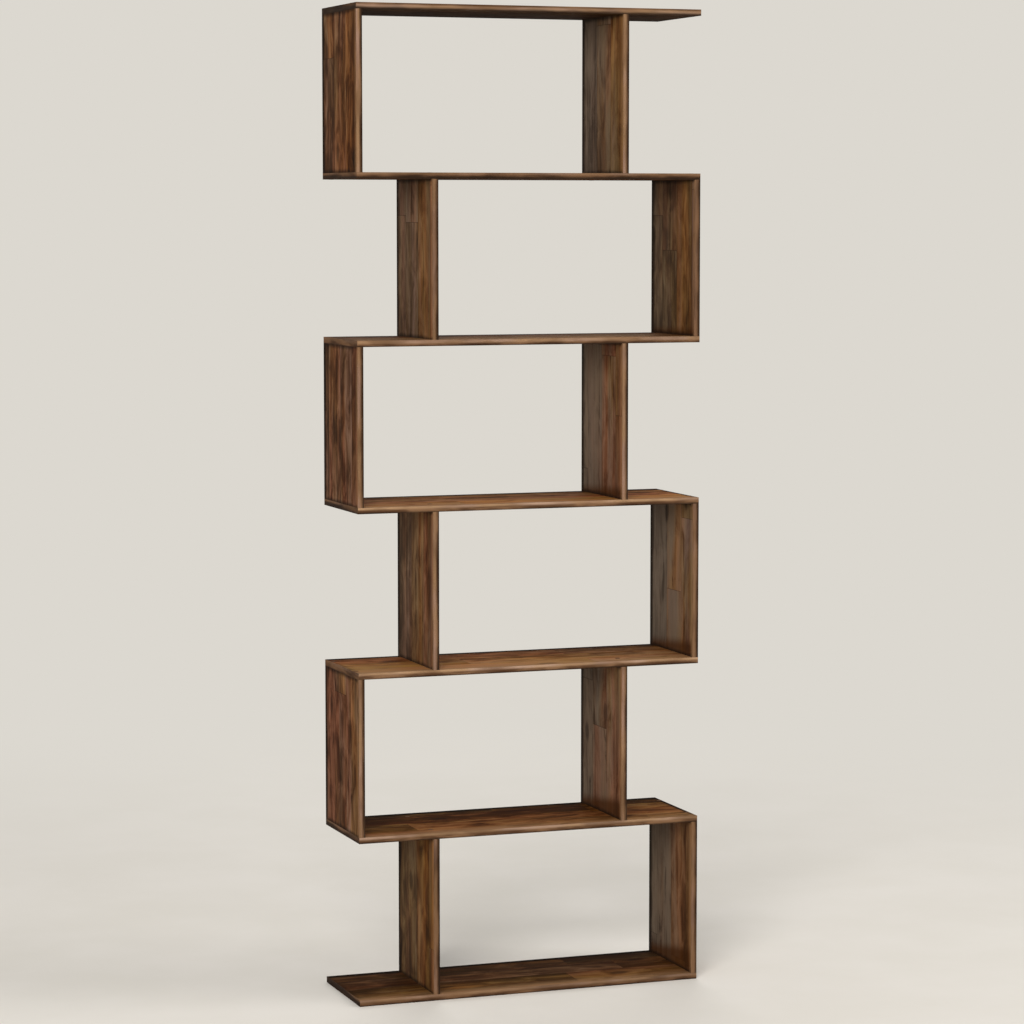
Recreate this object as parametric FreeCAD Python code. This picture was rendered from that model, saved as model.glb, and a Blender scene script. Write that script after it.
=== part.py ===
import FreeCAD
import Part
import math
import os

# Zigzag bookshelf in millimetres: full-width shelf boards stacked on pairs of uprights that step
# left and right from tier to tier. X runs along the shelves, Y from front to back, Z up.
# The origin is on the floor, under the middle of the base board.

# Overall form
width = 700.0
depth = 220.0
board_thickness = 12.0
clear_height = 304.0
ledge_length = 150.0
tier_count = 6

# Edge bands, glued round the edges that show
band_thickness = 0.8
band_arris_radius = 0.5

# Rows of fasteners in each joint, counted from the front and back edges
screw_setback = 37.0
dowel_step = 32.0

# Fluted wood dowels
dowel_diameter = 6.0
dowel_skin = 4.0
dowel_reach = 20.0
dowel_flute_depth = 0.35
dowel_flute_count = 8
dowel_taper_length = 1.2
dowel_taper_inset = 0.6
dowel_clearance = 0.05
dowel_end_room = 0.5

# Countersunk screws, driven through a shelf into the end of an upright
screw_diameter = 4.0
screw_core_diameter = 2.8
screw_reach = 32.0
screw_point_length = 4.0
screw_thread_pitch = 2.0
screw_head_diameter = 7.6
screw_head_rim = 0.4
screw_head_sink = 0.3
screw_socket_flats = 2.5
screw_socket_depth = 1.6
screw_clearance = 0.1
screw_end_room = 1.0

# Cover caps, stuck over the screw heads
cap_diameter = 10.0
cap_thickness = 0.5
cap_chamfer = 0.2

# Slotted wall brackets on the back edge of the top board, against tipping
bracket_width = 18.0
bracket_reach = 32.0
bracket_height = 13.0
bracket_thickness = 1.5
bracket_bend_radius = 1.0
bracket_corner_radius = 2.5
bracket_end_setback = 100.0
bracket_slot_length = 14.0
bracket_slot_setback = 6.0
bracket_slot_clearance = 0.4
bracket_hole_diameter = 4.5
bracket_hole_setback = 5.0

# Round-headed screws of the wall brackets
bracket_screw_diameter = 3.5
bracket_screw_head_diameter = 7.4
bracket_screw_head_height = 2.0
bracket_screw_head_rim = 0.5
bracket_screw_skin = 2.5
bracket_screw_end_room = 0.5
bracket_screw_slot_width = 1.0
bracket_screw_slot_depth = 0.9
bracket_screw_clearance = 0.05

# How far a cutting tool runs past the face that it cuts
cut_overrun = 1.0

tier_pitch = board_thickness + clear_height
height = tier_count * tier_pitch + board_thickness
half_width = width / 2
half_depth = depth / 2
screw_row = half_depth - screw_setback
dowel_row = screw_row - dowel_step
up = FreeCAD.Vector(0, 0, 1)
along_x = FreeCAD.Vector(1, 0, 0)
along_y = FreeCAD.Vector(0, 1, 0)


def vector(x, y, z):
    return FreeCAD.Vector(x, y, z)


def quarter_turns(axis, count):
    return FreeCAD.Rotation(axis, math.degrees(count * math.pi / 2))


def turned_solid(outline):
    """A solid of revolution about Z from a closed outline of (radius, height) points."""
    points = [vector(radius, 0, level) for radius, level in outline]
    face = Part.Face(Part.makePolygon(points + points[:1]))
    return face.revolve(vector(0, 0, 0), up, math.degrees(2 * math.pi))


def polygon_wire(points, level):
    corners = [vector(x, y, level) for x, y in points]
    return Part.makePolygon(corners + corners[:1])


def regular_points(count, radius):
    return [
        (radius * math.cos(2 * math.pi * k / count), radius * math.sin(2 * math.pi * k / count))
        for k in range(count)
    ]


# Layout


def shelf_level(shelf):
    """Height of a shelf board's underside. Shelf 0 is the base board."""
    return shelf * tier_pitch


def upright_starts(tier):
    """Left faces of a tier's two uprights. The outer upright changes sides from tier to tier."""
    if tier % 2:
        return -half_width, half_width - ledge_length - board_thickness
    return ledge_length - half_width, half_width - board_thickness


def joints_of_shelf(shelf):
    """(x of the upright's middle, True where the upright stands on the shelf) of each joint."""
    joints = []
    for tier, above in ((shelf, True), (shelf - 1, False)):
        if 0 <= tier < tier_count:
            joints += [(start + board_thickness / 2, above) for start in upright_starts(tier)]
    return joints


def at_joint(shape, x, y, level, above):
    """A copy of a fastener made along +Z, turned to point down where the upright is under the shelf."""
    placed = shape.copy()
    turn = quarter_turns(along_x, 0 if above else 2)
    placed.Placement = FreeCAD.Placement(vector(x, y, level), turn)
    return placed


def seam_level(shelf, above):
    """Height of the face where a shelf and an upright meet."""
    return shelf_level(shelf) + (board_thickness if above else 0)


def head_level(shelf, above):
    """Height of the shelf face that a joint's screws are driven through."""
    return shelf_level(shelf) + (0 if above else board_thickness)


def placed_in_joint(shape, shelf, joint, row, level_of):
    x, above = joint
    return [at_joint(shape, x, y, level_of(shelf, above), above) for y in (-row, row)]


# Fasteners, made along +Z: a dowel with the seam between two boards at zero, a screw and its cap
# with the shelf face that the screw goes in by at zero


def make_dowel():
    """A fluted dowel with tapered ends."""
    radius = dowel_diameter / 2
    valley = radius - dowel_flute_depth
    corners = []
    for flute in range(dowel_flute_count):
        for step, reach in ((0, radius), (1, radius), (2, valley)):
            angle = 2 * math.pi * (flute + step / 3) / dowel_flute_count
            corners.append((reach * math.cos(angle), reach * math.sin(angle)))
    end_share = (radius - dowel_taper_inset) / radius
    narrow = [(end_share * x, end_share * y) for x, y in corners]
    bottom = dowel_end_room - (board_thickness - dowel_skin)
    sections = [
        polygon_wire(narrow, bottom),
        polygon_wire(corners, bottom + dowel_taper_length),
        polygon_wire(corners, dowel_reach - dowel_taper_length),
        polygon_wire(narrow, dowel_reach),
    ]
    return Part.makeLoft(sections, True, True)


def dowel_hole():
    """The blind hole of one dowel, in the shelf below the seam and in the upright above it."""
    shelf_depth = board_thickness - dowel_skin
    radius = dowel_diameter / 2 + dowel_clearance
    return Part.makeCylinder(
        radius, shelf_depth + dowel_reach + dowel_end_room, vector(0, 0, -shelf_depth), up
    )


def make_screw():
    """A countersunk screw with a hex socket, sunk just below the face."""
    shank = screw_diameter / 2
    core = screw_core_diameter / 2
    head = screw_head_diameter / 2
    seat = screw_head_sink + screw_head_rim
    tip = board_thickness + screw_reach
    thread_length = screw_reach - screw_point_length
    turns = max(1, round(thread_length / screw_thread_pitch))
    pitch = thread_length / turns
    outline = [(0, screw_head_sink), (head, screw_head_sink), (head, seat)]
    outline += [(shank, seat + head - shank), (shank, board_thickness)]
    for turn in range(turns):
        root = board_thickness + turn * pitch
        outline += [(core, root), (shank, root + pitch / 2)]
    outline += [(core, tip - screw_point_length), (0, tip)]
    socket_radius = screw_socket_flats / math.sqrt(3)
    socket = Part.Face(polygon_wire(regular_points(6, socket_radius), screw_head_sink - cut_overrun))
    return turned_solid(outline).cut(socket.extrude(up * (screw_socket_depth + cut_overrun)))


def screw_hole():
    """The countersunk hole of one screw, through the shelf and on into the upright."""
    shank = screw_diameter / 2 + screw_clearance
    head = screw_head_diameter / 2 + screw_clearance
    seat = screw_head_sink + screw_head_rim
    end = board_thickness + screw_reach + screw_end_room
    countersink = [(0, -cut_overrun), (head, -cut_overrun), (head, seat), (shank, seat + head - shank)]
    return turned_solid(countersink + [(shank, end), (0, end)])


def make_cap():
    """A thin round cover cap, stuck on the face."""
    radius = cap_diameter / 2
    return turned_solid(
        [
            (0, 0),
            (radius, 0),
            (radius, cap_chamfer - cap_thickness),
            (radius - cap_chamfer, -cap_thickness),
            (0, -cap_thickness),
        ]
    )


def holes_of_joint(shelf, joint):
    screws = placed_in_joint(screw_hole(), shelf, joint, screw_row, head_level)
    dowels = placed_in_joint(dowel_hole(), shelf, joint, dowel_row, seam_level)
    return screws + dowels


# Boards and their edge bands


def core_box(x, length, level, rise, side_bands):
    """A board's core, set in by the bands on its front and back edges and by side_bands on its ends."""
    return Part.makeBox(
        length - 2 * side_bands,
        depth - 2 * band_thickness,
        rise,
        vector(x + side_bands, band_thickness - half_depth, level),
    )


def make_shelf(shelf):
    core = core_box(-half_width, width, shelf_level(shelf), board_thickness, band_thickness)
    holes = [hole for joint in joints_of_shelf(shelf) for hole in holes_of_joint(shelf, joint)]
    if shelf == tier_count:
        holes += [bracket_screw_hole(side) for side in (-1, 1)]
    return core.cut(holes)


def make_upright(tier, start):
    core = core_box(start, board_thickness, shelf_level(tier) + board_thickness, clear_height, 0)
    middle = start + board_thickness / 2
    holes = holes_of_joint(tier, (middle, True)) + holes_of_joint(tier + 1, (middle, False))
    return core.cut(holes)


def band_strip(length, round_ends):
    """An edge band along X from its middle, its rounded outer face towards -Y at zero."""
    corner = vector(-length / 2, 0, -board_thickness / 2)
    strip = Part.makeBox(length, band_thickness, board_thickness, corner)
    tolerance = band_thickness / 10
    outer = []
    for edge in strip.Edges:
        on_outer_face = all(abs(vertex.Y) < tolerance for vertex in edge.Vertexes)
        runs_along = abs(edge.Vertexes[0].X - edge.Vertexes[1].X) > tolerance
        if on_outer_face and (runs_along or round_ends):
            outer.append(edge)
    return strip.makeFillet(band_arris_radius, outer)


def turned_copy(shape, rotation, place):
    turned = shape.copy()
    turned.Placement = FreeCAD.Placement(place, rotation)
    return turned


def make_shelf_bands(shelf):
    """Bands of a shelf. The front and back ones cover the ends of the other two."""
    level = shelf_level(shelf) + board_thickness / 2
    long_strip = band_strip(width, True)
    end_strip = band_strip(depth - 2 * band_thickness, False)
    return [
        turned_copy(long_strip, quarter_turns(up, 0), vector(0, -half_depth, level)),
        turned_copy(end_strip, quarter_turns(up, 1), vector(half_width, 0, level)),
        turned_copy(long_strip, quarter_turns(up, 2), vector(0, half_depth, level)),
        turned_copy(end_strip, quarter_turns(up, 3), vector(-half_width, 0, level)),
    ]


def make_upright_bands(tier, start):
    """Front and back bands of an upright."""
    middle = start + board_thickness / 2
    level = shelf_level(tier) + board_thickness + clear_height / 2
    strip = band_strip(clear_height, False)
    stand = quarter_turns(along_y, 1)
    about_face = quarter_turns(up, 2).multiply(stand)
    return [
        turned_copy(strip, stand, vector(middle, -half_depth, level)),
        turned_copy(strip, about_face, vector(middle, half_depth, level)),
    ]


# Wall brackets and their screws


def bracket_middle(side):
    return side * (half_width - bracket_end_setback)


def bracket_slot_middle():
    """Y of the middle of the slot, where the bracket's screw stands."""
    return half_depth - bracket_reach + bracket_slot_setback + bracket_slot_length / 2


def bracket_profile():
    """The bent strip's outline in the YZ plane: a flat leg, and an upright leg at the back."""
    inner = bracket_bend_radius
    outer = bracket_bend_radius + bracket_thickness
    front = half_depth - bracket_reach
    back = half_depth
    low = height
    bow_share = 1 - math.sqrt(1 / 2)
    start = vector(0, front, low)
    bend_in = vector(0, back - outer, low)
    bend_mid = vector(0, back - outer * bow_share, low + outer * bow_share)
    bend_out = vector(0, back, low + outer)
    tip_back = vector(0, back, low + bracket_height)
    tip_front = vector(0, back - bracket_thickness, low + bracket_height)
    inner_out = vector(0, back - bracket_thickness, low + outer)
    inner_mid = vector(
        0, back - bracket_thickness - inner * bow_share, low + bracket_thickness + inner * bow_share
    )
    inner_in = vector(0, back - outer, low + bracket_thickness)
    end = vector(0, front, low + bracket_thickness)
    edges = [
        Part.LineSegment(start, bend_in).toShape(),
        Part.Arc(bend_in, bend_mid, bend_out).toShape(),
        Part.LineSegment(bend_out, tip_back).toShape(),
        Part.LineSegment(tip_back, tip_front).toShape(),
        Part.LineSegment(tip_front, inner_out).toShape(),
        Part.Arc(inner_out, inner_mid, inner_in).toShape(),
        Part.LineSegment(inner_in, end).toShape(),
        Part.LineSegment(end, start).toShape(),
    ]
    return Part.Face(Part.Wire(edges))


def slot_tool(x):
    """The straight slot through the flat leg, with round ends."""
    radius = bracket_screw_diameter / 2 + bracket_slot_clearance
    straight = bracket_slot_length - 2 * radius
    middle = bracket_slot_middle()
    low = height - cut_overrun
    rise = bracket_thickness + 2 * cut_overrun
    box = Part.makeBox(2 * radius, straight, rise, vector(x - radius, middle - straight / 2, low))
    places = [vector(x, middle + way * straight / 2, low) for way in (-1, 1)]
    ends = [Part.makeCylinder(radius, rise, place, up) for place in places]
    return box.fuse(ends).removeSplitter()


def rounded_corners(bracket):
    """Rounds the two corners at the end of each leg."""
    tolerance = bracket_thickness / 10
    corners = []
    for edge in bracket.Edges:
        middle = edge.CenterOfMass
        at_front = abs(middle.y - (half_depth - bracket_reach)) < tolerance
        at_top = abs(middle.z - (height + bracket_height)) < tolerance
        crosses_sheet = abs(edge.Length - bracket_thickness) < tolerance
        if crosses_sheet and (at_front or at_top):
            corners.append(edge)
    return bracket.makeFillet(bracket_corner_radius, corners)


def make_bracket(side):
    x = bracket_middle(side)
    profile = bracket_profile().translated(vector(x - bracket_width / 2, 0, 0))
    bracket = rounded_corners(profile.extrude(along_x * bracket_width))
    hole_level = height + bracket_height - bracket_hole_setback
    hole_start = vector(x, half_depth - bracket_thickness - cut_overrun, hole_level)
    hole_length = bracket_thickness + 2 * cut_overrun
    wall_hole = Part.makeCylinder(bracket_hole_diameter / 2, hole_length, hole_start, along_y)
    return bracket.cut([wall_hole, slot_tool(x)])


def bracket_screw_depth():
    """How far a bracket's screw reaches below the top board's face."""
    return board_thickness - bracket_screw_skin


def make_bracket_screw(side):
    """A round-headed screw through the bracket's slot, with a driver slot across its head."""
    shank = bracket_screw_diameter / 2
    head = bracket_screw_head_diameter / 2
    tip = -bracket_screw_depth()
    seat = bracket_thickness
    crown = seat + bracket_screw_head_height
    rim = seat + bracket_screw_head_rim
    rise = crown - rim
    sphere = (head * head + rise * rise) / (2 * rise)
    bow = math.asin(head / sphere) / 2
    dome_middle = vector(sphere * math.sin(bow), 0, crown - sphere + sphere * math.cos(bow))
    corners = [
        vector(0, 0, tip),
        vector(shank, 0, tip + shank),
        vector(shank, 0, seat),
        vector(head, 0, seat),
        vector(head, 0, rim),
    ]
    edges = [Part.LineSegment(a, b).toShape() for a, b in zip(corners, corners[1:])]
    edges.append(Part.Arc(corners[-1], dome_middle, vector(0, 0, crown)).toShape())
    edges.append(Part.LineSegment(vector(0, 0, crown), corners[0]).toShape())
    body = Part.Face(Part.Wire(edges)).revolve(vector(0, 0, 0), up, math.degrees(2 * math.pi))
    driver_slot = Part.makeBox(
        bracket_screw_head_diameter,
        bracket_screw_slot_width,
        bracket_screw_slot_depth + cut_overrun,
        vector(-head, -bracket_screw_slot_width / 2, crown - bracket_screw_slot_depth),
    )
    screw = body.cut(driver_slot)
    return screw.translated(vector(bracket_middle(side), bracket_slot_middle(), height))


def bracket_screw_hole(side):
    reach = bracket_screw_depth() + bracket_screw_end_room
    return Part.makeCylinder(
        bracket_screw_diameter / 2 + bracket_screw_clearance,
        reach + cut_overrun,
        vector(bracket_middle(side), bracket_slot_middle(), height - reach),
        up,
    )


# The assembly: one entry for each node, with the solids that it holds


def shelf_name(shelf):
    if shelf == 0:
        return "base_board"
    return "top_board" if shelf == tier_count else f"shelf_{shelf}"


def fasteners(shape, shelf, row, level_of):
    """Copies of one fastener in all the joints of a shelf."""
    return [
        copy
        for joint in joints_of_shelf(shelf)
        for copy in placed_in_joint(shape, shelf, joint, row, level_of)
    ]


def shelf_nodes(shelf):
    name = shelf_name(shelf)
    nodes = {
        name: [make_shelf(shelf)],
        f"{name}_edge_bands": make_shelf_bands(shelf),
        f"{name}_dowels": fasteners(make_dowel(), shelf, dowel_row, seam_level),
        f"{name}_screws": fasteners(make_screw(), shelf, screw_row, head_level),
    }
    if shelf > 0:
        nodes[f"{name}_screw_caps"] = fasteners(make_cap(), shelf, screw_row, head_level)
    return nodes


def tier_nodes(tier):
    left, right = upright_starts(tier)
    name = f"tier_{tier + 1}"
    return {
        f"{name}_left_upright": [make_upright(tier, left)],
        f"{name}_right_upright": [make_upright(tier, right)],
        f"{name}_edge_bands": make_upright_bands(tier, left) + make_upright_bands(tier, right),
    }


def bracket_nodes():
    return {
        "wall_bracket_left": [make_bracket(-1)],
        "wall_bracket_right": [make_bracket(1)],
        "wall_bracket_screws": [make_bracket_screw(side) for side in (-1, 1)],
    }


def assembly():
    nodes = {}
    for shelf in range(tier_count + 1):
        nodes.update(shelf_nodes(shelf))
    for tier in range(tier_count):
        nodes.update(tier_nodes(tier))
    nodes.update(bracket_nodes())
    return nodes


def main():
    os.makedirs("parts", exist_ok=True)
    for name, solids in assembly().items():
        shape = solids[0] if len(solids) == 1 else Part.makeCompound(solids)
        shape.exportStep(f"parts/{name}.step")


main()
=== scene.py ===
import math
from typing import NamedTuple

import bpy
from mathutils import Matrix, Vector


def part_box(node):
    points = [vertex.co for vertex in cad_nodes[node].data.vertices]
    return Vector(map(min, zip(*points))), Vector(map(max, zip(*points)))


# Looks of a zigzag bookshelf, in metres: wood-grain boards with lighter edge bands and small fittings.
# X runs along the shelves, Y from front to back, Z up.

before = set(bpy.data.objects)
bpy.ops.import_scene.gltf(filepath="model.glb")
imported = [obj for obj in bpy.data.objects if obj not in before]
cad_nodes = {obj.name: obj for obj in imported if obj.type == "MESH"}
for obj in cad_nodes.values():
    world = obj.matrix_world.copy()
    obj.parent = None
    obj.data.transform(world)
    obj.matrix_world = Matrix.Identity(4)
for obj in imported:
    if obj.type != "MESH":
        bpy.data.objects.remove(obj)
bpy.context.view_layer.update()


def srgb(red, green, blue):
    """Linear colour of an 8-bit display colour."""
    def linear(level):
        share = level / 255
        return share / 12.92 if share <= 0.04045 else ((share + 0.055) / 1.055) ** 2.4
    return (linear(red), linear(green), linear(blue), 1.0)


class Layer(NamedTuple):
    """A layer of noise over a surface."""
    along: float  # features per metre along it
    across: float  # features per metre across it
    detail: float = 2.0
    roughness: float = 0.5
    distortion: float = 0.0


class Fade(NamedTuple):
    """A shade that fades out as a distance or a level grows."""
    start: float  # where it starts to fade
    end: float  # where it is gone
    strength: float = 1.0


# Sizes of the boards, from the frame
shelf_low, shelf_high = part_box("base_board_edge_bands")
half_width = shelf_high.x
half_depth = shelf_high.y
half_board = (shelf_high.z - shelf_low.z) / 2

# Wood colours, from the darkest to the lightest. The darkest is also the colour of painted shade.
DARK_GRAIN_AND_SHADE = srgb(22, 13, 7)
UMBER = srgb(55, 34, 19)
WALNUT = srgb(81, 54, 34)
BROWN = srgb(103, 73, 50)
RUSSET = srgb(118, 88, 65)
HONEY = srgb(136, 105, 80)
WOOD_STOPS = (0.00, UMBER), (0.25, WALNUT), (0.50, BROWN), (0.75, RUSSET), (1.00, HONEY)

# Grey of a painted reflection over the grain, dark and light, worn corners that also carry a painted
# highlight, and the painted shade at the feet of uprights
SHEEN_GREY_DARK = srgb(76, 65, 55)
SHEEN_GREY_LIGHT = srgb(108, 95, 82)
WORN = srgb(146, 112, 80)
FOOT = srgb(72, 38, 8)

# Tints that wander over the grain
ASH = (0.86, 1.00, 1.20, 1.0)
RUST = (1.15, 0.95, 0.85, 1.0)
MAUVE = (1.05, 0.95, 1.16, 1.0)
GILT = (1.05, 1.02, 0.70, 1.0)
PLAIN = (1.00, 1.00, 1.00, 1.0)

# Edging, and the two colours of its painted highlight line on uprights and on shelves
BAND_SHADE = srgb(94, 67, 46)
BAND_TAN = srgb(128, 96, 69)
UPRIGHT_HIGHLIGHTS = srgb(145, 113, 82), srgb(152, 121, 103)
SHELF_HIGHLIGHTS = srgb(163, 130, 98), srgb(168, 138, 117)
BAND_STOPS = (0.0, WALNUT), (0.45, BAND_SHADE), (1.0, BAND_TAN)

# Fittings
BEECH_DARK = srgb(176, 138, 98)
BEECH_LIGHT = srgb(216, 182, 138)
ZINC_DARK = srgb(128, 128, 124)
ZINC_LIGHT = srgb(176, 175, 168)
CAP_DARK = srgb(74, 51, 34)
CAP_LIGHT = srgb(108, 76, 50)

# Surroundings
FLOOR_PALE = srgb(234, 230, 222)
FLOOR_PALER = srgb(237, 233, 226)
BACKDROP = srgb(220, 216, 208)

# Strength of all bumps, and the range in which most noise lies
BUMP_STRENGTH = 0.6
NOISE_SPAN = 0.3, 0.7


class Finish:
    """A material's node tree, with short helpers for the nodes that the finishes share."""

    def __init__(self, name):
        self.material = bpy.data.materials.new(name)
        self.material.use_nodes = True
        self.tree = self.material.node_tree
        self.shader = self.tree.nodes["Principled BSDF"]

    def put(self, socket, value):
        """Links a socket, or sets a plain value."""
        if isinstance(value, bpy.types.NodeSocket):
            self.tree.links.new(value, socket)
        else:
            socket.default_value = value

    def node(self, kind, inputs=(), **settings):
        made = self.tree.nodes.new(kind)
        for key, value in settings.items():
            setattr(made, key, value)
        for key, value in dict(inputs).items():
            self.put(made.inputs[key], value)
        return made

    def math(self, operation, *values):
        made = self.node("ShaderNodeMath", operation=operation)
        for socket, value in zip(made.inputs, values):
            self.put(socket, value)
        return made.outputs[0]

    def add(self, first, *others):
        for other in others:
            first = self.math("ADD", first, other)
        return first

    def less(self, first, second):
        return self.math("SUBTRACT", first, second)

    def times(self, first, *others):
        for other in others:
            first = self.math("MULTIPLY", first, other)
        return first

    def weigh(self, values, weights):
        """The sum of values times their weights."""
        return self.add(*(self.times(value, weight) for value, weight in zip(values, weights)))

    def most(self, first, *others):
        for other in others:
            first = self.math("MAXIMUM", first, other)
        return first

    def least(self, first, second):
        return self.math("MINIMUM", first, second)

    def size(self, value):
        return self.math("ABSOLUTE", value)

    def over(self, value, limit):
        """1 where value is over the limit, and 0 elsewhere."""
        return self.math("GREATER_THAN", value, limit)

    def under(self, value, limit):
        """1 where value is under the limit, and 0 elsewhere."""
        return self.math("LESS_THAN", value, limit)

    def centred(self, value):
        """A value from 0 to 1, moved to lie round 0."""
        return self.less(value, 0.5)

    def choose(self, switch, first, second):
        """One of two plain numbers: second where switch is 1, and first where it is 0."""
        return self.add(first, self.times(switch, second - first))

    def axes(self):
        """The part's own X, Y and Z."""
        place = self.node("ShaderNodeTexCoord").outputs["Object"]
        return self.node("ShaderNodeSeparateXYZ", {"Vector": place}).outputs

    def vector(self, x, y, z=0.0):
        return self.node("ShaderNodeCombineXYZ", {"X": x, "Y": y, "Z": z}).outputs[0]

    def noise(self, along, across, layer):
        """Smooth noise over a plane, from 0 to 1."""
        made = self.node(
            "ShaderNodeTexNoise",
            {
                "Vector": self.vector(self.times(along, layer.along), self.times(across, layer.across)),
                "Scale": 1.0,
                "Detail": layer.detail,
                "Roughness": layer.roughness,
                "Distortion": layer.distortion,
            },
            noise_dimensions="2D",
        )
        return made.outputs[0]

    def random(self, dimensions, place):
        """A random Value and Color of each place."""
        return self.node("ShaderNodeTexWhiteNoise", place, noise_dimensions=dimensions).outputs

    def channels(self, colour):
        return self.node("ShaderNodeSeparateColor", {"Color": colour}).outputs

    def remap(self, value, low, high, out_low=0.0, out_high=1.0):
        """A smooth, clamped step from out_low to out_high as value goes from low to high."""
        made = self.node(
            "ShaderNodeMapRange",
            {"Value": value, "From Min": low, "From Max": high, "To Min": out_low, "To Max": out_high},
            interpolation_type="SMOOTHSTEP",
        )
        return made.outputs[0]

    def fade(self, value, shade):
        """The strength of a Fade at a value."""
        return self.remap(value, shade.start, shade.end, shade.strength, 0.0)

    def ramp(self, factor, *stops):
        """A colour ramp of (position, colour) stops."""
        made = self.node("ShaderNodeValToRGB", {"Fac": factor})
        elements = made.color_ramp.elements
        while len(elements) < len(stops):
            elements.new(1.0)
        for element, (position, colour) in zip(elements, stops):
            element.position = position
            element.color = colour
        return made.outputs["Color"]

    def speckle(self, noise, dark, light):
        """Two colours that follow noise."""
        low, high = NOISE_SPAN
        return self.ramp(noise, (low, dark), (high, light))

    def mix(self, factor, first, second, blend="MIX"):
        made = self.node("ShaderNodeMix", data_type="RGBA", blend_type=blend)
        colours = [socket for socket in made.inputs if socket.type == "RGBA"]
        self.put(made.inputs["Factor"], factor)
        self.put(colours[0], first)
        self.put(colours[1], second)
        return next(socket for socket in made.outputs if socket.type == "RGBA")

    def surface(self, colour, roughness, height, depth, constants=()):
        """Sets the shader's colour, roughness and bump, and constants on its own sockets."""
        self.put(self.shader.inputs["Base Color"], colour)
        self.put(self.shader.inputs["Roughness"], roughness)
        bump = self.node("ShaderNodeBump", {"Height": height, "Distance": depth, "Strength": BUMP_STRENGTH})
        self.put(self.shader.inputs["Normal"], bump.outputs[0])
        for key, value in dict(constants).items():
            self.shader.inputs[key].default_value = value
        return self.material


# Knots: how many could grow per metre, how scattered and how rare they are, how they bend the grain, their
# dark hearts and their rings. Their distances are shares of a cell in which one could grow.
KNOTS_ALONG = 3.4
KNOTS_ACROSS = 7.5
KNOT_SCATTER = 0.9
KNOT_RARITY = 0.70
KNOT_PULL = Fade(0.00, 0.42, 0.75)
KNOT_HEART = Fade(0.03, 0.11)
KNOT_DARKNESS = 0.60
RING_RATE = 95.0
RING_DEPTH = 0.006


def knots(finish, along, across):
    """(distance to the nearest knot, across bent round it, 1 where a knot grows) over a board's face."""
    cells = finish.node(
        "ShaderNodeTexVoronoi",
        {
            "Vector": finish.vector(finish.times(along, KNOTS_ALONG), finish.times(across, KNOTS_ACROSS)),
            "Scale": 1.0,
            "Randomness": KNOT_SCATTER,
        },
        voronoi_dimensions="2D",
    )
    distance = cells.outputs["Distance"]
    grown = finish.over(finish.channels(cells.outputs["Color"])["Red"], KNOT_RARITY)
    centre = finish.node("ShaderNodeSeparateXYZ", {"Vector": cells.outputs["Position"]}).outputs["Y"]
    offset = finish.less(finish.times(across, KNOTS_ACROSS), centre)
    pull = finish.times(finish.fade(distance, KNOT_PULL), grown)
    bent = finish.less(across, finish.times(offset, pull, 1 / KNOTS_ACROSS))
    return distance, bent, grown


# Staves that the boards are glued from: how many per metre, how far their ends are staggered, how their
# tones differ, how far their grain is moved apart, and the dark joints between them
STAVES_ACROSS = 13.5
STAVES_ALONG = 1.6
STAVE_STAGGER = 7.0
STAVE_CONTRAST = 0.08
STAVE_MOVE_ALONG = 11.0
STAVE_MOVE_ACROSS = 5.0
JOINT = Fade(0.0003, 0.0012, 0.45)


def staves(finish, length, y, seed):
    """(three random values of each stave, its middle across, distance to its nearest joint) over a board."""
    lane = finish.add(finish.times(y, STAVES_ACROSS), seed)
    row = finish.math("FLOOR", lane)
    stagger = finish.random("1D", {"W": row})["Value"]
    run = finish.add(finish.times(length, STAVES_ALONG), finish.times(stagger, STAVE_STAGGER))
    cell = finish.math("FLOOR", run)
    chances = finish.random("3D", {"Vector": finish.vector(row, cell, seed)})["Color"]
    middle = finish.times(finish.less(finish.add(row, 0.5), seed), 1 / STAVES_ACROSS)
    from_side = finish.size(finish.centred(finish.less(lane, row)))
    from_end = finish.size(finish.centred(finish.less(run, cell)))
    gap = finish.least(
        finish.times(finish.less(0.5, from_side), 1 / STAVES_ACROSS),
        finish.times(finish.less(0.5, from_end), 1 / STAVES_ALONG),
    )
    return finish.channels(chances), middle, gap


class Look(NamedTuple):
    """A look of the boards' grain."""
    painted_sheen: float  # how grey it turns towards the back, as a painted reflection
    light: float  # how light it is
    slope: float  # how much lighter its front and darker its back is, as painted light and shade
    figure: float  # how strongly it is figured
    tinting: float  # how strongly it is tinted
    cast: tuple  # colour that it is multiplied by


LOOKS = {
    "russet": Look(0.15, -0.036, 0.005, 1.24, 0.85, (1.09, 0.98, 0.88, 1.0)),
    "bronze": Look(0.52, -0.012, 0.030, 0.94, 0.90, (1.08, 0.98, 0.80, 1.0)),
    "olive": Look(0.45, -0.005, 0.020, 0.88, 0.90, (1.00, 1.00, 0.86, 1.0)),
    "tawny": Look(0.30, -0.012, 0.020, 0.94, 0.90, (1.06, 0.99, 0.62, 1.0)),
    "grey_sheen": Look(0.85, 0.040, 0.010, 0.92, 0.90, (1.06, 1.00, 0.84, 1.0)),
    "murky": Look(0.85, 0.038, 0.010, 0.92, 0.45, (1.05, 1.00, 0.78, 1.0)),
    "ashen": Look(0.95, 0.070, 0.005, 0.86, 0.90, (1.00, 1.01, 1.00, 1.0)),
    "golden": Look(0.00, 0.003, 0.070, 1.02, 0.80, (1.13, 0.97, 0.52, 1.0)),
    "amber": Look(0.00, -0.010, 0.080, 1.15, 0.80, (1.44, 1.18, 0.66, 1.0)),
    "honey": Look(0.00, 0.020, 0.100, 1.10, 0.80, (1.58, 1.32, 0.78, 1.0)),
    "chestnut": Look(0.15, -0.010, 0.050, 0.94, 0.80, (1.09, 0.97, 0.74, 1.0)),
    "dark": Look(0.10, -0.046, 0.045, 0.86, 0.80, (1.04, 0.98, 0.68, 1.0)),
}

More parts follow.
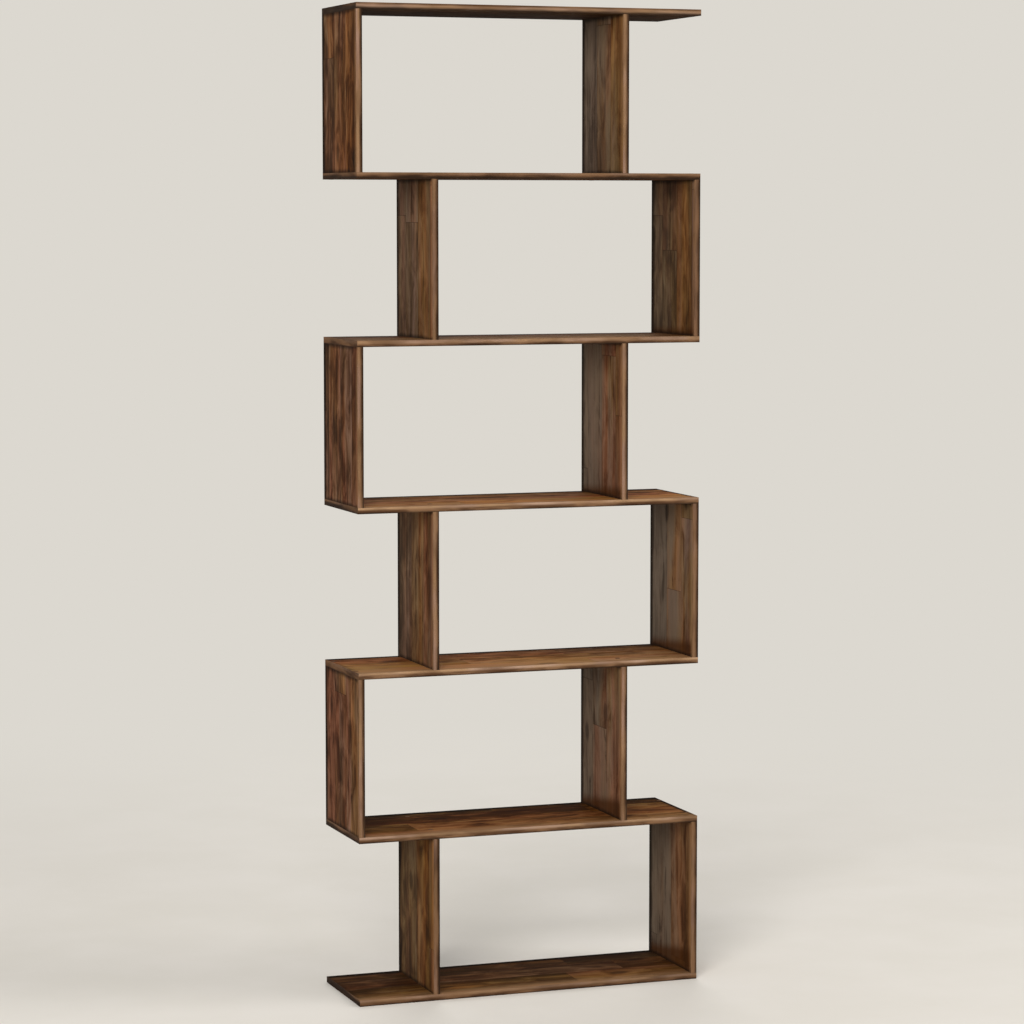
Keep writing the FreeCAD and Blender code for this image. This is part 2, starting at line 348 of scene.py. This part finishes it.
# Layers of the grain, from the broadest to the finest, and the layers that the tints follow
DRIFT = Layer(2.0, 5.0, detail=1.0)
BROAD = Layer(2.2, 20.0, distortion=0.5)
BLOTCH = Layer(14.0, 34.0, 4.0, 0.60, 0.4)
STREAK = Layer(3.2, 70.0, 3.0, 0.55)
LINE = Layer(7.0, 330.0, 3.0, 0.60)
PORE = Layer(55.0, 1900.0)
HUE = Layer(3.0, 26.0, distortion=0.3)
GILD = Layer(2.6, 20.0, distortion=0.3)

# Moves along the grain that set opposite faces and the tints apart, and how far the knots drift across
FACE_MOVE = 37.0
HUE_MOVE = 31.0
GILD_MOVE = 67.0
DRIFT_WIDTH = 0.03

# Tone of the grain: the weights of its broad, blotch, streak and line layers, its middle level, and the
# ranges over which the wood and the grey of its painted reflection run from dark to light
TONE_WEIGHTS = 0.24, 0.44, 0.22, 0.12
MIDDLE_TONE = 0.5
TONE_SPAN = 0.31, 0.69
GREY_SPAN = 0.38, 0.62

# Tints: the weights of their layer and of the stave, a level below both, and the range over which they run
TINT_WEIGHTS = 0.6, 0.2
TINT_BASE = 0.1
TINT_SPAN = 0.36, 0.64

# Grey of the painted reflection over the grain: the weights of the place, of its stave's middle and of the
# broad layer in how far back it lies, and where it sets in, from a board's middle
PAINTED_SHEEN_WEIGHTS = 0.5, 0.5, 0.14
PAINTED_SHEEN_SPAN = -0.07, 0.06

# Dark lines and seams, by the levels of their layers
DARK_LINE = Fade(0.30, 0.50, 0.30)
SEAM_STREAK = Fade(0.30, 0.40)
SEAM_BLOTCH = Fade(0.40, 0.52)
SEAM_DARKNESS = 0.36

# How far the streak and blotch layers fray the edges of worn places and of painted shade, what share of that
# shows at the back and at the ends, and how uneven the wear is
FRAY_WEIGHTS = 0.016, 0.020
BACK_FRAY_SHARE = 0.4
SHELF_END_FRAY_SHARE = 0.15
UPRIGHT_END_FRAY_SHARE = 0.2
WEAR_SPAN = 0.34, 0.56
WEAR_SHARES = 0.55, 1.0

# Gloss of the boards, by the weights of the tone and the line layer, and relief, by those of the line, pore
# and streak layers and of the knots
SHEEN_WEIGHTS = 0.5, 0.5
SHEEN_SPAN = 0.35, 0.65
BOARD_ROUGHNESS = 0.90, 0.78
RELIEF_WEIGHTS = 0.6, 0.3, 0.6, -0.5
BOARD_RELIEF = 0.0004
SHELF_SPECULAR = 0.01
UPRIGHT_SPECULAR = 0.05


class Grain:
    """Rustic brown grain along a board of glued staves."""

    def __init__(self, finish, length, through, y, seed, look, lift):
        """lift is how much lighter the board is than its look."""
        self.finish = finish
        self.y = y
        self.look = LOOKS[look]
        self.chances, self.stave, self.gap = staves(finish, length, y, seed)
        along = finish.add(length, finish.times(through, FACE_MOVE), seed)
        drift = finish.times(finish.centred(finish.noise(along, y, DRIFT)), DRIFT_WIDTH)
        self.knot_distance, bent, self.knot_grown = knots(finish, along, finish.add(y, drift))
        run = finish.add(along, finish.times(self.chances[0], STAVE_MOVE_ALONG))
        across = finish.add(bent, finish.times(self.chances[1], STAVE_MOVE_ACROSS))
        self.broad = finish.noise(run, across, BROAD)
        self.blotch = finish.noise(run, across, BLOTCH)
        self.streak = finish.noise(run, across, STREAK)
        self.line = finish.noise(run, across, LINE)
        self.pore = finish.noise(run, across, PORE)
        self.hue = finish.noise(finish.add(run, HUE_MOVE), across, HUE)
        self.gild = finish.noise(finish.add(run, GILD_MOVE), across, GILD)
        self.tone = self.grain_tone(lift)
        self.heart = self.knot_heart()
        self.colour = self.figured(self.painted_sheen_grey(self.tinted()))
        self.fray = finish.weigh((finish.centred(self.streak), finish.centred(self.blotch)), FRAY_WEIGHTS)

    def grain_tone(self, lift):
        """How light the grain is, from the front to the back."""
        finish = self.finish
        look = self.look
        figure = finish.weigh((self.broad, self.blotch, self.streak, self.line), TONE_WEIGHTS)
        base = MIDDLE_TONE * (1 - look.figure) + look.light + lift
        return finish.add(
            finish.times(figure, look.figure),
            finish.times(finish.centred(self.chances[2]), STAVE_CONTRAST),
            # Painted light at the front and painted shade at the back
            finish.remap(self.y, -half_depth, half_depth, base + look.slope, base - look.slope),
        )

    def tint(self, layer, chance, low, high):
        """A tint that wanders with its layer and changes from stave to stave."""
        finish = self.finish
        level = finish.add(finish.weigh((layer, chance), TINT_WEIGHTS), TINT_BASE)
        return finish.ramp(finish.remap(level, *TINT_SPAN), (0.0, low), (0.5, PLAIN), (1.0, high))

    def tinted(self):
        finish = self.finish
        look = self.look
        wood = finish.ramp(finish.remap(self.tone, *TONE_SPAN), *WOOD_STOPS)
        warmth = self.tint(self.hue, self.chances[1], ASH, RUST)
        gilding = self.tint(self.gild, self.chances[0], MAUVE, GILT)
        warmed = finish.mix(look.tinting, wood, warmth, "MULTIPLY")
        gilded = finish.mix(look.tinting, warmed, gilding, "MULTIPLY")
        return finish.mix(1.0, gilded, look.cast, "MULTIPLY")

    def painted_sheen_grey(self, colour):
        """Turns staves grey towards the back, as a painted reflection."""
        finish = self.finish
        behind = finish.weigh((self.y, self.stave, finish.centred(self.broad)), PAINTED_SHEEN_WEIGHTS)
        grey = finish.mix(finish.remap(self.tone, *GREY_SPAN), SHEEN_GREY_DARK, SHEEN_GREY_LIGHT)
        return finish.mix(finish.remap(behind, *PAINTED_SHEEN_SPAN, 0.0, self.look.painted_sheen), colour, grey)

    def figured(self, colour):
        """Adds dark lines, seams, joints and knots."""
        finish = self.finish
        lined = finish.mix(finish.fade(self.line, DARK_LINE), colour, UMBER)
        seam = finish.times(finish.fade(self.streak, SEAM_STREAK), finish.fade(self.blotch, SEAM_BLOTCH))
        seamed = finish.mix(finish.times(seam, SEAM_DARKNESS * self.look.figure), lined, DARK_GRAIN_AND_SHADE)
        jointed = finish.mix(finish.fade(self.gap, JOINT), seamed, DARK_GRAIN_AND_SHADE)
        return finish.mix(finish.times(self.heart, KNOT_DARKNESS), jointed, DARK_GRAIN_AND_SHADE)

    def knot_heart(self):
        """1 in a knot's heart, with rings round it."""
        finish = self.finish
        ring = finish.math("SINE", finish.times(self.knot_distance, RING_RATE))
        ringed = finish.add(self.knot_distance, finish.times(ring, RING_DEPTH))
        return finish.times(finish.fade(ringed, KNOT_HEART), self.knot_grown)

    def frayed(self, distance, share):
        """A distance to an edge, frayed by some of the grain."""
        return self.finish.add(distance, self.finish.times(self.fray, share))

    def edges(self):
        """Distances to the front, which frays most, and to the back."""
        finish = self.finish
        front = self.frayed(finish.add(half_depth, self.y), 1.0)
        back = self.frayed(finish.less(half_depth, self.y), BACK_FRAY_SHARE)
        return front, back

    def surface(self, shadow, worn_and_highlit, specular):
        """The finish, with painted shade where there is shadow and light where it is worn, which also
        carries a painted highlight.
        """
        finish = self.finish
        # Painted shade
        with_painted_shade = finish.mix(shadow, self.colour, DARK_GRAIN_AND_SHADE)
        uneven = finish.remap(self.blotch, *WEAR_SPAN, *WEAR_SHARES)
        colour = finish.mix(finish.times(worn_and_highlit, uneven), with_painted_shade, WORN)
        sheen = finish.weigh((self.tone, self.line), SHEEN_WEIGHTS)
        roughness = finish.remap(sheen, *SHEEN_SPAN, *BOARD_ROUGHNESS)
        height = finish.weigh((self.line, self.pore, self.streak, self.heart), RELIEF_WEIGHTS)
        return finish.surface(colour, roughness, height, BOARD_RELIEF, {"Specular IOR Level": specular})


# Painted shade and wear of a level board, by their distance from an edge: painted shade at the back and at
# the ends, wear with a painted highlight at the front, and how dark the painted shade at its ends is from
# left to right
SHELF_BACK = Fade(0.012, 0.030, 0.94)
SHELF_DIM = Fade(0.020, 0.090, 0.36)
SHELF_END = Fade(0.004, 0.013)
SHELF_END_DARKNESS = 0.35, 0.95
SHELF_WEAR = Fade(0.000, 0.042, 0.80)


def shelf_finish(shelf, middle, seed):
    """Grain along X, worn light at the front with a painted highlight, and painted shade at the back, at the
    ends and below.
    """
    finish = Finish(f"{shelf.name}_grain")
    x, y, z = finish.axes()
    grain = Grain(finish, x, z, y, seed, shelf.look, shelf.lift)
    front, back = grain.edges()
    end = grain.frayed(finish.less(half_width, finish.size(x)), SHELF_END_FRAY_SHARE)
    below = finish.under(z, middle)
    # Painted shade at the back, at the ends and below
    shadow = finish.most(
        finish.fade(back, SHELF_BACK),
        finish.fade(back, SHELF_DIM),
        finish.times(
            finish.fade(end, SHELF_END),
            finish.remap(x, -half_width, half_width, *SHELF_END_DARKNESS),
        ),
        finish.times(below, shelf.underside_shade),
    )
    # Wear at the front of the top, which also carries a painted highlight
    worn_and_highlit = finish.times(finish.fade(front, SHELF_WEAR), finish.less(1.0, below))
    return grain.surface(shadow, worn_and_highlit, SHELF_SPECULAR)


# Painted shade and wear of an upright, by their distance from an edge. The wear at the front also carries a
# painted highlight, and a band of painted shade lies behind it.
UPRIGHT_BACK = Fade(0.007, 0.022, 0.92)
UPRIGHT_ENDS = Fade(0.001, 0.010, 0.75)
UPRIGHT_WEAR = Fade(0.002, 0.012, 0.55)
SHADE_BEHIND_FRONT_START = 0.008, 0.018
SHADE_BEHIND_FRONT = Fade(0.020, 0.056, 0.42)
FOOT_SHADE = Fade(-0.006, 0.016, 0.85)
FOOT_BACK_SHARE = 1 / 3


def upright_finish(node, seed, look, lift, foot):
    """Grain along Z, worn light at the front with a painted highlight, and painted shade behind that, at the
    back and at both ends.

    foot is how high the shade at the foot of the left face reaches at the front.
    """
    finish = Finish(f"{node}_grain")
    x, y, z = finish.axes()
    low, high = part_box(node)
    grain = Grain(finish, z, x, y, seed, look, lift)
    front, back = grain.edges()
    rise = finish.less(z, low.z)
    nearest_end = grain.frayed(finish.least(rise, finish.less(high.z, z)), UPRIGHT_END_FRAY_SHARE)
    # Painted shade behind the worn front, at the back and at both ends
    shadow = finish.most(
        finish.times(finish.remap(front, *SHADE_BEHIND_FRONT_START), finish.fade(front, SHADE_BEHIND_FRONT)),
        finish.fade(back, UPRIGHT_BACK),
        finish.fade(nearest_end, UPRIGHT_ENDS),
    )
    if foot:
        reach = finish.remap(y, -half_depth, half_depth, foot, foot * FOOT_BACK_SHARE)
        shade = finish.fade(finish.less(rise, reach), FOOT_SHADE)
        on_left_face = finish.under(x, (low.x + high.x) / 2)
        grain.colour = finish.mix(finish.times(shade, on_left_face), grain.colour, FOOT)
    # Wear at the front, which also carries a painted highlight
    return grain.surface(shadow, finish.fade(front, UPRIGHT_WEAR), UPRIGHT_SPECULAR)


# Layers of the edging, and moves along it that set two of them apart
BAND_STRETCH = Layer(9.0, 60.0, 3.0, 0.6)
BAND_TINT = Layer(6.0, 20.0)
BAND_GLEAM = Layer(8.0, 20.0)
BAND_LINE = Layer(24.0, 900.0, 3.0, 0.6)
TINT_MOVE = 3.0
GLEAM_MOVE = 7.0

# Body of the edging and of its shade, by levels of the stretch layer
BODY_SPAN = 0.30, 0.70
SHADE_SPAN = 0.25, 0.65

# Painted highlight line of the edging: the change between its colours, its width as a share of half a board,
# and how much of it shows
LIGHT_SPAN = 0.44, 0.58
LIGHT_WIDTH = Fade(0.2 * half_board, 0.9 * half_board)
GLEAM_SPAN = 0.36, 0.60
GLEAM_SHARES = 0.45, 1.0

# Dark lines of the edging, its side of painted shade, and how far that side frays
BAND_DARK_LINE = Fade(0.30, 0.50, 0.35)
BAND_SHADE_SIDE = Fade(-0.003, 0.003, 0.85)
BAND_FRAY = 0.004

# Gloss of the edging, and relief, by the weights of the line and stretch layers
BAND_ROUGHNESS = 0.85, 0.70
BAND_RELIEF_WEIGHTS = 1.0, 0.4
BAND_RELIEF = 0.0002
BAND_SPECULAR = 0.08


def edging(finish, along, across, lights, shade, crown, dark):
    """Wood-grain edging.

    across runs from its middle, positive to its side of painted shade. lights are the two colours of its
    painted highlight line and crown is where that lies, as a share of the way to the highlit side. dark is
    the width of the side of painted shade.
    """
    stretch = finish.noise(along, across, BAND_STRETCH)
    tint = finish.noise(finish.add(along, TINT_MOVE), across, BAND_TINT)
    gleam = finish.noise(finish.add(along, GLEAM_MOVE), across, BAND_GLEAM)
    line = finish.noise(along, across, BAND_LINE)
    body = finish.ramp(finish.remap(stretch, *BODY_SPAN), *BAND_STOPS)
    # Painted highlight: a light line along one arris of the edging
    light = finish.mix(finish.remap(tint, *LIGHT_SPAN), *lights)
    core = finish.fade(finish.size(finish.add(across, crown * half_board)), LIGHT_WIDTH)
    shown = finish.times(core, finish.remap(gleam, *GLEAM_SPAN, *GLEAM_SHARES))
    lined = finish.mix(finish.fade(line, BAND_DARK_LINE), finish.mix(shown, body, light), BAND_SHADE)
    shaded = finish.mix(shade, lined, finish.mix(finish.remap(stretch, *SHADE_SPAN), UMBER, BROWN))
    side = finish.add(finish.less(half_board, across), finish.times(finish.centred(stretch), BAND_FRAY))
    # Painted shade along the other side of the edging
    colour = finish.mix(finish.fade(finish.less(side, dark), BAND_SHADE_SIDE), shaded, DARK_GRAIN_AND_SHADE)
    roughness = finish.remap(line, *NOISE_SPAN, *BAND_ROUGHNESS)
    height = finish.weigh((line, stretch), BAND_RELIEF_WEIGHTS)
    return finish.surface(colour, roughness, height, BAND_RELIEF, {"Specular IOR Level": BAND_SPECULAR})


# How dark the edging is painted, as painted shade, at the ends and back of shelves, and how wide its side of
# painted shade is at their ends, from the front to the back
SHELF_END_SHADE = 0.85
SHELF_BACK_SHADE = 0.75
SHELF_END_SHADE_WIDTH = 0.0045, 0.0090


def shelf_edging(shelf, middle, seed):
    """Edging that runs along X at the front and back of a shelf, and along Y at its ends, with painted shade
    at the back, the ends and its lower side.
    """
    finish = Finish(f"{shelf.name}_edging")
    x, y, z = finish.axes()
    at_end = finish.over(finish.less(finish.size(x), finish.size(y)), half_width - half_depth)
    at_back = finish.over(y, 0.0)
    along = finish.add(finish.times(y, at_end), finish.times(x, finish.less(1.0, at_end)), seed)
    shade = finish.most(
        finish.times(at_end, SHELF_END_SHADE),
        finish.times(at_back, SHELF_BACK_SHADE),
        shelf.shade,
    )
    share = finish.choose(finish.over(x, 0.0), *shelf.ends)
    end_shade_width = finish.times(finish.remap(y, -half_depth, half_depth, *SHELF_END_SHADE_WIDTH), share)
    dark = finish.add(shelf.dark, finish.times(at_end, finish.less(end_shade_width, shelf.dark)))
    return edging(finish, along, finish.less(middle, z), SHELF_HIGHLIGHTS, shade, shelf.crown, dark)


# How dark the edging is painted, as painted shade, at the back of uprights, where its painted highlight lies
# and how wide its side of painted shade is, and moves along it that set a tier's left and right edging and
# their fronts and backs apart
UPRIGHT_BACK_SHADE = 0.70
UPRIGHT_CROWN = 0.55
UPRIGHT_SHADE_WIDTH = 0.0038
RIGHT_MOVE = 5.0
BACK_MOVE = 13.0


def upright_edging(name, middles, shades, seed):
    """Edging that runs up the front and back of a left and a right upright."""
    finish = Finish(name)
    x, y, z = finish.axes()
    on_right = finish.over(x, sum(middles) / 2)
    along = finish.add(z, finish.times(on_right, RIGHT_MOVE), finish.times(y, BACK_MOVE), seed)
    across = finish.less(x, finish.choose(on_right, *middles))
    shade = finish.most(
        finish.times(finish.over(y, 0.0), UPRIGHT_BACK_SHADE),
        finish.choose(on_right, *shades),
    )
    return edging(finish, along, across, UPRIGHT_HIGHLIGHTS, shade, UPRIGHT_CROWN, UPRIGHT_SHADE_WIDTH)


# Layers, roughness, relief and gloss of the fittings
BEECH_FLECK = Layer(300.0, 1400.0, 3.0, 0.6)
BEECH_ROUGHNESS = 0.75, 0.60
BEECH_RELIEF = 0.0001
ZINC_RUBBING = Layer(140.0, 140.0, 4.0, 0.6)
ZINC_SCRATCH = Layer(300.0, 4000.0)
ZINC_SCUFF_WEIGHTS = 0.6, 0.4
ZINC_ROUGHNESS = 0.28, 0.50
ZINC_RELIEF = 0.00004
CAP_GRAIN = Layer(60.0, 700.0, 3.0, 0.6)
CAP_ROUGHNESS = 0.90, 0.80
CAP_RELIEF = 0.0001
CAP_SPECULAR = 0.05


def beech_finish():
    """Raw wood of the dowels."""
    finish = Finish("dowel_beech")
    x, y, z = finish.axes()
    fleck = finish.noise(z, finish.add(x, y), BEECH_FLECK)
    roughness = finish.remap(fleck, *NOISE_SPAN, *BEECH_ROUGHNESS)
    return finish.surface(finish.speckle(fleck, BEECH_DARK, BEECH_LIGHT), roughness, fleck, BEECH_RELIEF)


def zinc_finish(name):
    """Zinc-plated steel with rubbed patches and fine scratches."""
    finish = Finish(name)
    x, y, z = finish.axes()
    rubbed = finish.noise(finish.add(x, z), y, ZINC_RUBBING)
    scratch = finish.noise(x, finish.add(y, z), ZINC_SCRATCH)
    scuffed = finish.weigh((rubbed, scratch), ZINC_SCUFF_WEIGHTS)
    roughness = finish.remap(scuffed, *NOISE_SPAN, *ZINC_ROUGHNESS)
    colour = finish.speckle(rubbed, ZINC_DARK, ZINC_LIGHT)
    return finish.surface(colour, roughness, scratch, ZINC_RELIEF, {"Metallic": 1.0})


def cap_finish():
    """Matt brown plastic of the screw caps, printed with a faint grain."""
    finish = Finish("cap_plastic")
    x, y, z = finish.axes()
    grain = finish.noise(x, finish.add(y, z), CAP_GRAIN)
    roughness = finish.remap(grain, *NOISE_SPAN, *CAP_ROUGHNESS)
    colour = finish.speckle(grain, CAP_DARK, CAP_LIGHT)
    return finish.surface(colour, roughness, grain, CAP_RELIEF, {"Specular IOR Level": CAP_SPECULAR})


def dress(name, material):
    """Gives a CAD node its finish."""
    slots = cad_nodes[name].data.materials
    slots.clear()
    slots.append(material)


def middle_of(name):
    low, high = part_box(name)
    return (low + high) / 2


class Shelf(NamedTuple):
    """A level board and its edging."""
    name: str
    look: str
    lift: float  # how much lighter it is than its look
    underside_shade: float  # how dark its painted shade below is
    shade: float  # how dark its front edging is
    crown: float  # where the painted highlight line of its edging lies, as a share of the way to the top
    dark: float  # width of the side of its edging with painted shade
    ends: tuple  # how much of the painted shade at shelf ends its left and right end have


class Tier(NamedTuple):
    """The left and right uprights of a tier and their edging."""
    looks: tuple
    lifts: tuple  # how much lighter they are than their looks
    shades: tuple  # how dark their front edging is


# Boards and tiers, from the floor up
SHELVES = [
    Shelf("base_board", "dark", -0.050, 0.45, 0.48, 0.8, 0.0025, (2.2, 1.5)),
    Shelf("shelf_1", "golden", -0.076, 0.45, 0.15, 0.8, 0.0025, (1.0, 0.0)),
    Shelf("shelf_2", "honey", 0.030, 0.45, 0.00, 0.8, 0.0025, (0.0, 1.0)),
    Shelf("shelf_3", "amber", 0.060, 0.45, 0.00, 0.8, 0.0025, (1.0, 0.0)),
    Shelf("shelf_4", "chestnut", 0.000, 0.45, 0.34, 0.5, 0.0025, (0.0, 1.0)),
    Shelf("shelf_5", "chestnut", 0.000, 0.45, 0.68, 0.9, 0.0055, (1.0, 0.0)),
    Shelf("top_board", "olive", 0.000, 0.75, 0.38, -0.1, 0.0040, (1.6, 1.0)),
]
TIERS = [
    Tier(("tawny", "murky"), (0.000, -0.005), (0.60, 0.55)),
    Tier(("russet", "grey_sheen"), (0.010, 0.010), (0.20, 0.20)),
    Tier(("bronze", "ashen"), (0.000, 0.000), (0.25, 0.50)),
    Tier(("russet", "grey_sheen"), (-0.018, 0.000), (0.45, 0.20)),
    Tier(("bronze", "olive"), (0.035, -0.022), (0.62, 0.72)),
    Tier(("russet", "grey_sheen"), (-0.010, 0.000), (0.15, 0.20)),
]

# Seeds that set the grain of boards apart, and their steps from one board or tier to the next
SHELF_SEED = 11.3
SHELF_SEED_STEP = 3.7
SHELF_EDGING_SEED_STEP = 2.9
UPRIGHT_SEEDS = 57.1, 86.1
UPRIGHT_SEED_STEP = 4.3
UPRIGHT_EDGING_SEED = 41.0
UPRIGHT_EDGING_SEED_STEP = 3.1

# How much higher the shade at the foot of right uprights reaches in each tier below the top one
FOOT_STEP = 0.008


def dress_shelves(beech, zinc):
    cap = cap_finish()
    for number, shelf in enumerate(SHELVES):
        middle = middle_of(shelf.name).z
        dress(shelf.name, shelf_finish(shelf, middle, SHELF_SEED + SHELF_SEED_STEP * number))
        dress(f"{shelf.name}_edge_bands", shelf_edging(shelf, middle, SHELF_EDGING_SEED_STEP * number))
        dress(f"{shelf.name}_dowels", beech)
        dress(f"{shelf.name}_screws", zinc)
        if number:
            dress(f"{shelf.name}_screw_caps", cap)


def dress_tiers():
    for number, tier in enumerate(TIERS):
        prefix = f"tier_{number + 1}"
        names = f"{prefix}_left_upright", f"{prefix}_right_upright"
        feet = 0.0, FOOT_STEP * (len(TIERS) - 1 - number)
        for name, look, lift, foot, seed in zip(names, tier.looks, tier.lifts, feet, UPRIGHT_SEEDS):
            dress(name, upright_finish(name, seed + UPRIGHT_SEED_STEP * number, look, lift, foot))
        middles = [middle_of(name).x for name in names]
        seed = UPRIGHT_EDGING_SEED + UPRIGHT_EDGING_SEED_STEP * number
        dress(f"{prefix}_edge_bands", upright_edging(f"{prefix}_edging", middles, tier.shades, seed))


def dress_brackets(zinc):
    bracket = zinc_finish("bracket_zinc")
    for side in ("left", "right"):
        dress(f"wall_bracket_{side}", bracket)
    dress("wall_bracket_screws", zinc)


# Floor, and the distances from the part between which it runs into the backdrop
FLOOR_SIDE = 60.0
FLOOR_MOTTLE = Layer(3.0, 3.0, 4.0, 0.6)
FLOOR_ROUGHNESS = 0.8, 0.7
FLOOR_RELIEF = 0.0001
FLOOR_SPECULAR = 0.1
FLOOR_END = 0.9, 3.6


def seen_rays(tree):
    """1 for rays that show the surroundings and don't light the part."""
    path = tree.nodes.new("ShaderNodeLightPath")
    seen = path.outputs["Is Camera Ray"]
    for other in ("Is Glossy Ray", "Is Transmission Ray"):
        either = tree.nodes.new("ShaderNodeMath")
        either.operation = "MAXIMUM"
        tree.links.new(seen, either.inputs[0])
        tree.links.new(path.outputs[other], either.inputs[1])
        seen = either.outputs[0]
    return seen


def floor_finish():
    """Plain pale floor with a soft mottle, which runs into the backdrop's colour far from the part."""
    finish = Finish("floor_pale")
    x, y, z = finish.axes()
    mottle = finish.noise(x, y, FLOOR_MOTTLE)
    colour = finish.speckle(mottle, FLOOR_PALE, FLOOR_PALER)
    roughness = finish.remap(mottle, *NOISE_SPAN, *FLOOR_ROUGHNESS)
    finish.surface(colour, roughness, mottle, FLOOR_RELIEF, {"Specular IOR Level": FLOOR_SPECULAR})
    reach = finish.math("SQRT", finish.add(finish.times(x, x), finish.times(y, y)))
    far = finish.times(finish.remap(reach, *FLOOR_END), seen_rays(finish.tree))
    glow = finish.node("ShaderNodeEmission", {"Color": BACKDROP, "Strength": 1.0})
    mixer = finish.node("ShaderNodeMixShader", {0: far, 1: finish.shader.outputs[0], 2: glow.outputs[0]})
    finish.put(finish.tree.nodes["Material Output"].inputs["Surface"], mixer.outputs[0])
    return finish.material


def make_floor():
    bpy.ops.mesh.primitive_plane_add(size=FLOOR_SIDE, location=(0.0, 0.0, 0.0))
    floor = bpy.context.object
    floor.name = "floor"
    floor.data.materials.append(floor_finish())


class Lamp(NamedTuple):
    """A soft lamp."""
    name: str
    place: tuple
    level: float  # how bright it alone shows a white surface that faces it
    colour: tuple


LAMPS = [
    Lamp("key", (-3.0, -4.8, 3.0), 0.75, (1.0, 0.98, 0.95)),
    Lamp("fill", (5.0, -2.2, 2.8), 0.36, (1.0, 0.98, 0.96)),
    Lamp("rear", (1.6, 4.4, 3.0), 0.25, (1.0, 0.98, 0.96)),
]
LAMP_SIZE = 3.0
LAMP_AIM = Vector((0.0, 0.0, 0.95))
WORLD_COLOUR = (1.0, 0.99, 0.97, 1.0)
WORLD_LEVEL = 0.38


def make_lamp(lamp):
    reach = LAMP_AIM - Vector(lamp.place)
    data = bpy.data.lights.new(lamp.name, "AREA")
    data.shape = "DISK"
    data.size = LAMP_SIZE
    data.energy = lamp.level * math.pi ** 2 * reach.length_squared
    data.color = lamp.colour
    made = bpy.data.objects.new(lamp.name, data)
    bpy.context.collection.objects.link(made)
    made.location = lamp.place
    made.rotation_euler = reach.to_track_quat("-Z", "Y").to_euler()


def make_world():
    """Even light from all round, in front of a plain backdrop."""
    world = bpy.data.worlds.new("studio")
    bpy.context.scene.world = world
    world.use_nodes = True
    tree = world.node_tree
    background = tree.nodes["Background"]
    background.inputs["Color"].default_value = WORLD_COLOUR
    background.inputs["Strength"].default_value = WORLD_LEVEL
    shown = tree.nodes.new("ShaderNodeBackground")
    shown.inputs["Color"].default_value = BACKDROP
    mixer = tree.nodes.new("ShaderNodeMixShader")
    tree.links.new(seen_rays(tree), mixer.inputs[0])
    tree.links.new(background.outputs[0], mixer.inputs[1])
    tree.links.new(shown.outputs[0], mixer.inputs[2])
    tree.links.new(mixer.outputs[0], tree.nodes["World Output"].inputs["Surface"])


# Camera at the photograph's viewing angle
CAMERA_PLACE = (-2.223, -6.114, 1.520)
CAMERA_YAW = math.radians(19.98)
CAMERA_PITCH = math.radians(5.16)
CAMERA_LENS = 117.3
CAMERA_SENSOR = 36.0


def make_camera():
    data = bpy.data.cameras.new("camera")
    data.sensor_width = CAMERA_SENSOR
    data.lens = CAMERA_LENS
    camera = bpy.data.objects.new("camera", data)
    bpy.context.collection.objects.link(camera)
    camera.location = CAMERA_PLACE
    camera.rotation_euler = (math.pi / 2 - CAMERA_PITCH, 0.0, -CAMERA_YAW)
    bpy.context.scene.camera = camera


fastener_zinc = zinc_finish("fastener_zinc")
dress_shelves(beech_finish(), fastener_zinc)
dress_tiers()
dress_brackets(fastener_zinc)
make_floor()
for lamp in LAMPS:
    make_lamp(lamp)
make_world()
make_camera()
bpy.context.scene.view_settings.view_transform = "Standard"
